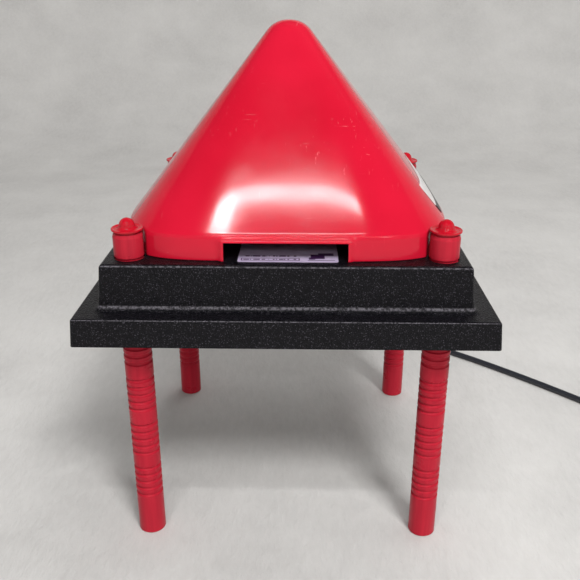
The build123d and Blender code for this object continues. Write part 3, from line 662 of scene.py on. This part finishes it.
def cover_shell():
    """The cover's mesh: outer shell with its window, given its wall by a solidify."""
    angles, window_edges = cover_angles()
    rings = []
    foot_radius = 0.4 * MM
    for z in cover_heights():
        rise = min(1.0, (z - COVER_FOOT_Z) / foot_radius)
        rounding = foot_radius * (1 - sqrt(1 - (1 - rise) ** 2))
        rings.append((z, [cover_half_width(z, a) - rounding for a in angles], corner_power(z)))
    arc_steps = 14
    arc_centre = FACE_SLOPE * (COVER_APEX_Z - ARC_Z) - APEX_RADIUS * cos(FACE_TILT)
    for step in range(arc_steps):
        tilt = FACE_TILT + (pi / 2 - FACE_TILT) * step / arc_steps
        z = COVER_TOP_Z - APEX_RADIUS * (1 - sin(tilt))
        rings.append((z, [arc_centre + APEX_RADIUS * cos(tilt)] * len(angles), corner_power(z)))
    vertices = []
    for z, halves, power in rings:
        for half, angle in zip(halves, angles):
            radius = cover_radius(half, power, angle)
            vertices.append((radius * cos(angle), radius * sin(angle), z))
    top = len(vertices)
    vertices.append((0, 0, COVER_TOP_Z))
    in_window = [window_edges[0] - NEARLY <= angle <= window_edges[1] + NEARLY for angle in angles]
    count, faces = len(angles), []
    for ring in range(len(rings) - 1):
        beside_window = rings[ring + 1][0] <= WINDOW_TOP_Z + NEARLY
        for k in range(count):
            after = (k + 1) % count
            if beside_window and in_window[k] and in_window[after]:
                continue
            foot, head = ring * count, (ring + 1) * count
            faces.append((foot + k, foot + after, head + after, head + k))
    last = (len(rings) - 1) * count
    faces += [(last + k, last + (k + 1) % count, top) for k in range(count)]
    piece = mesh_object("cover_shell", vertices, faces)
    wall = piece.modifiers.new("wall", "SOLIDIFY")
    wall.thickness = WALL
    wall.offset = -1.0
    wall.use_even_offset = True
    apply_modifiers(piece)
    piece.data.set_sharp_from_angle(angle=SHARP_COVER_EDGE)
    return piece


finish_piece(cover_shell(), "lift_off_cover", "red_gloss", "cover")

STICKER_FOOT_Z = 259.5 * MM
STICKER_SPAN = (-69.0 * MM, 61.0 * MM)    # front and rear end
STICKER_RISE = 27.0 * MM                  # measured up the slope
STICKER_LIFT = 0.35 * MM                  # from the cover to the sheet's outer face
STICKER_THICKNESS = 0.25 * MM
STICKER_CORNER = 1.5 * MM


def sticker():
    """A thin sheet that follows the cover's right face."""
    columns, rows = 40, 10
    vertices = []
    for row in range(rows + 1):
        z = STICKER_FOOT_Z + STICKER_RISE * cos(FACE_TILT) * row / rows
        half, power = cover_half_width(z, 0.0), corner_power(z)
        edge = STICKER_CORNER * abs(2 * row / rows - 1) ** 8
        for column in range(columns + 1):
            start, end = STICKER_SPAN[0] + edge, STICKER_SPAN[1] - edge
            y = start + (end - start) * column / columns
            x = (half**power - abs(y)**power) ** (1 / power)
            vertices.append((x + STICKER_LIFT * cos(FACE_TILT), y, z + STICKER_LIFT * sin(FACE_TILT)))
    wide = columns + 1
    faces = [(r * wide + c, r * wide + c + 1, (r + 1) * wide + c + 1, (r + 1) * wide + c)
             for r in range(rows) for c in range(columns)]
    piece = mesh_object("cover_sticker", vertices, faces)
    sheet = piece.modifiers.new("sheet", "SOLIDIFY")
    sheet.thickness = STICKER_THICKNESS
    sheet.offset = 1.0 if piece.data.polygons[0].normal.x < 0 else -1.0
    return apply_modifiers(piece)


finish_piece(sticker(), "lift_off_cover", "sticker_white", "side_sticker")


# --- floor and light --------------------------------------------------------------------------
def floor_material():
    """Dull pale cloth: soft clouds, fine fibres and gentle waves."""
    made = Finish("pale_floor", Roughness=0.95, Specular_IOR_Level=0.15)
    clouds = made.noise(7.0, 5, 0.6)
    fibres = made.noise(160.0, 4, 0.7, stretch=(1.0, 0.35, 1.0), turn=(0, 0, 0.5))
    base = made.mix(made.spread(clouds, 0.3, 0.7), (0.49, 0.483, 0.474), (0.575, 0.568, 0.556))
    made.colour(made.mix(made.spread(fibres, 0.35, 0.75, 0.0, 0.35), base, (0.65, 0.642, 0.63)))
    made.bump(made.noise(5.0, 3), 0.03, 0.35)
    made.bump(fibres, 0.003, 0.4)
    return made.material


STAGE_SEGMENTS = 128
STAGE_RADIUS = 2.1        # where the floor has turned into the upright backdrop
STAGE_BEND = 0.8          # radius of that turn
STAGE_HEIGHT = 2.0


def stage_mesh():
    """A round floor that turns up smoothly into a backdrop all round."""
    flat = STAGE_RADIUS - STAGE_BEND
    profile = [(flat * share, 0.0) for share in (0.12, 0.3, 0.6, 1.0)]
    bend_steps = 12
    for step in range(1, bend_steps + 1):
        turned = pi / 2 * step / bend_steps
        profile.append((flat + STAGE_BEND * sin(turned), STAGE_BEND * (1 - cos(turned))))
    profile.append((STAGE_RADIUS, STAGE_HEIGHT))
    vertices = [(0, 0, 0)]
    for radius, height in profile:
        for step in range(STAGE_SEGMENTS):
            angle = 2 * pi * step / STAGE_SEGMENTS
            vertices.append((radius * cos(angle), radius * sin(angle), height))
    faces = [(0, 1 + k, 1 + (k + 1) % STAGE_SEGMENTS) for k in range(STAGE_SEGMENTS)]
    for ring in range(len(profile) - 1):
        foot, head = 1 + ring * STAGE_SEGMENTS, 1 + (ring + 1) * STAGE_SEGMENTS
        for k in range(STAGE_SEGMENTS):
            after = (k + 1) % STAGE_SEGMENTS
            faces.append((foot + k, head + k, head + after, foot + after))
    return mesh_object("floor", vertices, faces)


floor = stage_mesh()
floor.data.materials.append(floor_material())


def area_light(name, place, target, size, power, colour=(1, 1, 1), reflected=True):
    """A rectangular light at place, turned towards target, that gloss may show or not."""
    data = bpy.data.lights.new(name, "AREA")
    data.shape = "RECTANGLE"
    data.size, data.size_y = size
    data.energy = power
    data.color = colour
    made = add_object(name, data)
    made.location = place
    made.rotation_euler = (Vector(place) - Vector(target)).to_track_quat("Z", "Y").to_euler()
    made.visible_glossy = reflected


AIM = (0, -0.05, 0.20)
BEHIND = (0.1, 0.5, 0)
WARM = (1.0, 0.992, 0.982)
# Three soft lights give the brightness and the shadows, and no gloss shows them.
area_light("key", (0.80, -1.75, 2.25), AIM, (0.7, 0.55), 58.0, WARM, reflected=False)
area_light("fill", (-0.3, -1.5, 1.4), AIM, (1.2, 0.9), 1.0, WARM, reflected=False)
area_light("overhead", (0.5, 0.7, 1.95), BEHIND, (1.6, 1.2), 14.0, WARM, reflected=False)
# The others are faint and stand where the gloss shows them: a band with a bright end in a soft
# glow on the cover's front, a line along the skirt's lip and a point on the knobs.
area_light("window_glow", (-0.06, -0.94, 1.72), AIM, (0.8, 0.25), 0.15)
area_light("window_band", (0.01, -0.905, 1.79), AIM, (0.62, 0.05), 5.2)
area_light("window_spot", (-0.30, -0.93, 1.74), AIM, (0.13, 0.10), 2.8)
area_light("front_strip", (0.05, -1.55, 1.05), AIM, (1.3, 0.05), 3.2)
area_light("glint", (0.55, -1.45, 0.85), AIM, (0.10, 0.10), 1.2)

WORLD_COLOUR = (0.80, 0.79, 0.78, 1)
WORLD_STRENGTH = 0.09
world = bpy.data.worlds.new("studio")
world.use_nodes = True
background = world.node_tree.nodes["Background"]
background.inputs["Color"].default_value = WORLD_COLOUR
background.inputs["Strength"].default_value = WORLD_STRENGTH
bpy.context.scene.world = world
